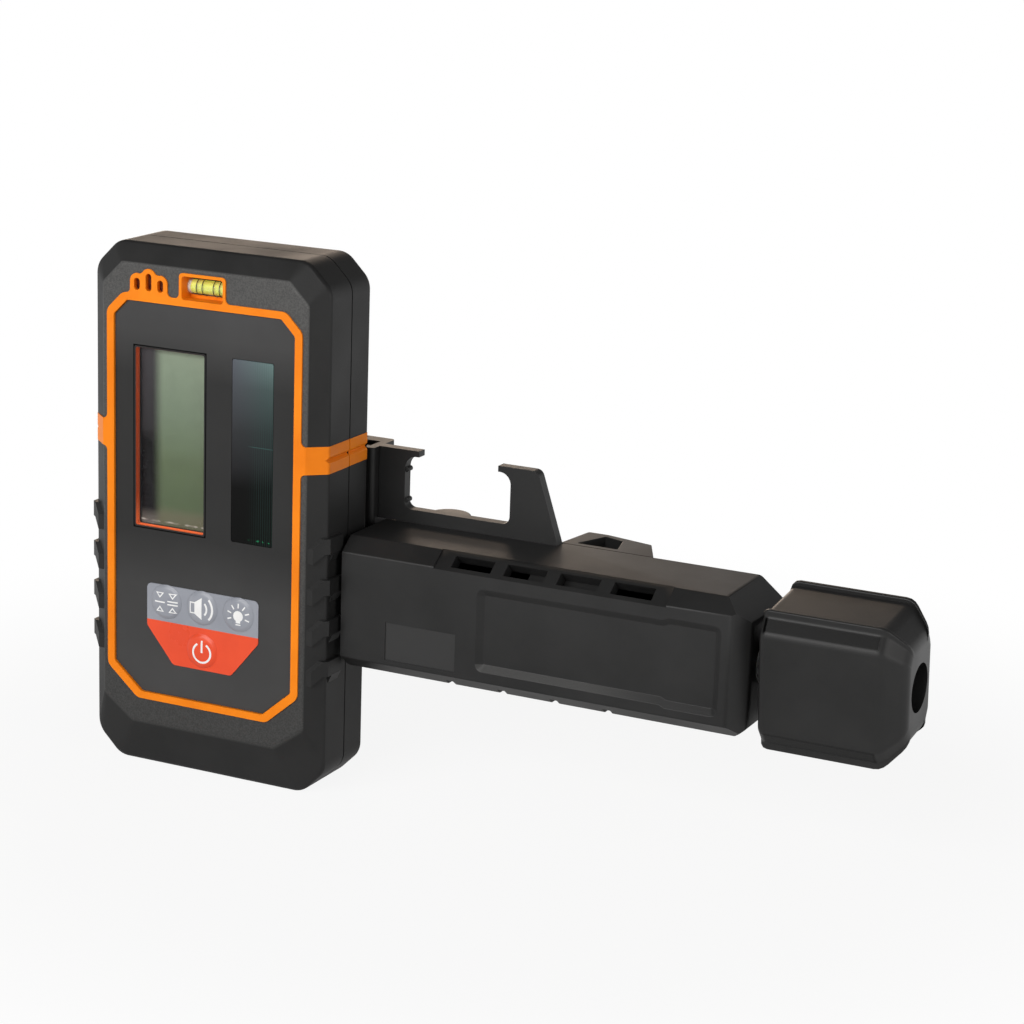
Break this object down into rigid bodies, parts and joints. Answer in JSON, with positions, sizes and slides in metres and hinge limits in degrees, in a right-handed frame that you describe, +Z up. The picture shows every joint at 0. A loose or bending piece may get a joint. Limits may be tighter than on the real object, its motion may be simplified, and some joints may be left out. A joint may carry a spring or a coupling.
{
  "type": "laser receiver with rod clamp",
  "caption": "Handheld laser receiver with a display, sensor window, level vial and keypad, carried on a screw clamp with a reading frame that grips a grade rod.",
  "frame": {"origin": "middle of the clamp's seat on the rod: midway between the jaws, on the back face of the arm, at the height of the lead screw", "axes": "+X along the lead screw towards the knob, +Y from the arm to the rod, +Z up along the rod"},
  "size_m": [0.2544, 0.0562, 0.16],
  "materials": {
    "case_black": "fine sandy moulded texture",
    "clamp_black": "satin moulded",
    "panel_grey": "satin film",
    "trim_orange": "soft satin",
    "display_red": "satin",
    "clear_pane": "polished",
    "dark_pane": "polished, tinted",
    "display_green": "satin",
    "white_plastic": "satin",
    "board_green": "solder mask",
    "sensor_dark": "polished",
    "keypad_grey": "satin film",
    "keypad_red": "satin film",
    "switch_black": "moulded",
    "seal_black": "matt",
    "vial_clear": "polished",
    "vial_green": "clear fluid",
    "steel": "zinc plated",
    "brass": "machined",
    "cell_wrap": "plain wrapped cell"
  },
  "bodies": {
    "clamp": {"arm_housing": "clamp_black", "back_plate": "clamp_black", "arm_screws": "steel", "jaw_screws": "steel", "fixed_jaw": "clamp_black", "tray": "clamp_black", "end_bush": "white_plastic", "shaft_bush": "white_plastic"},
    "receiver": {"front_case": "case_black", "rear_case": "case_black", "case_seal": "seal_black", "trim_ring": "trim_orange", "rear_bands": "trim_orange", "front_panel": "panel_grey", "display_window": "clear_pane", "sensor_window": "dark_pane", "display_frame": "display_red", "display_glass": "display_green", "backlight": "white_plastic", "photodiodes": "sensor_dark", "sensor_board": "board_green", "sensor_header": "switch_black", "main_board": "board_green", "board_screws": "steel", "key_switches": "switch_black", "sounder": "switch_black", "keypad_upper": "keypad_grey", "keypad_lower": "keypad_red", "vial_tube": "vial_clear", "vial_plugs": "white_plastic", "vial_fluid": "vial_green", "case_screws": "steel", "battery_tub": "case_black", "battery_cells": "cell_wrap", "battery_contacts": "steel", "door_pin": "steel", "mount_rail": "clamp_black", "rail_screws": "steel"},
    "door": {"battery_door": "case_black"},
    "accuracy_key": {"key_accuracy": "keypad_grey"},
    "volume_key": {"key_volume": "keypad_grey"},
    "light_key": {"key_light": "keypad_grey"},
    "power_key": {"key_power": "keypad_red"},
    "jaw": {"moving_jaw": "clamp_black", "jaw_carriage": "clamp_black", "carriage_screws": "steel", "jaw_nut": "brass"},
    "drive": {"knob": "clamp_black", "knob_washer": "steel", "knob_screw": "steel", "lead_screw": "steel", "thrust_collar": "steel", "retaining_clip": "steel"}
  },
  "joints": [
    {"name": "receiver_lift", "type": "slide", "parent": "clamp", "child": "receiver", "axis": [0, 0, 1], "range_m": [0, 0.105]},
    {"name": "battery_door_swing", "type": "hinge", "parent": "receiver", "child": "door", "pos_m": [-0.0805, -0.0088, -0.0503], "axis": [-1, 0, 0], "range_deg": [0, 95]},
    {"name": "accuracy_press", "type": "slide", "parent": "receiver", "child": "accuracy_key", "axis": [0, 1, 0], "range_m": [0, 0.0005], "stiffness_N_per_m": 400},
    {"name": "volume_press", "type": "slide", "parent": "receiver", "child": "volume_key", "axis": [0, 1, 0], "range_m": [0, 0.0005], "stiffness_N_per_m": 400},
    {"name": "light_press", "type": "slide", "parent": "receiver", "child": "light_key", "axis": [0, 1, 0], "range_m": [0, 0.0005], "stiffness_N_per_m": 400},
    {"name": "power_press", "type": "slide", "parent": "receiver", "child": "power_key", "axis": [0, 1, 0], "range_m": [0, 0.0005], "stiffness_N_per_m": 400},
    {"name": "knob_turn", "type": "hinge", "parent": "clamp", "child": "drive", "pos_m": [0.1095, -0.0152, 0], "axis": [1, 0, 0], "range_deg": [-1584, 2016]},
    {"name": "jaw_slide", "type": "slide", "parent": "clamp", "child": "jaw", "axis": [1, 0, 0], "range_m": [-0.022, 0.028]}
  ],
  "couplings": [
    {"joint": "jaw_slide", "follows": "knob_turn", "m_per_rad": 0.00079577}
  ]
}
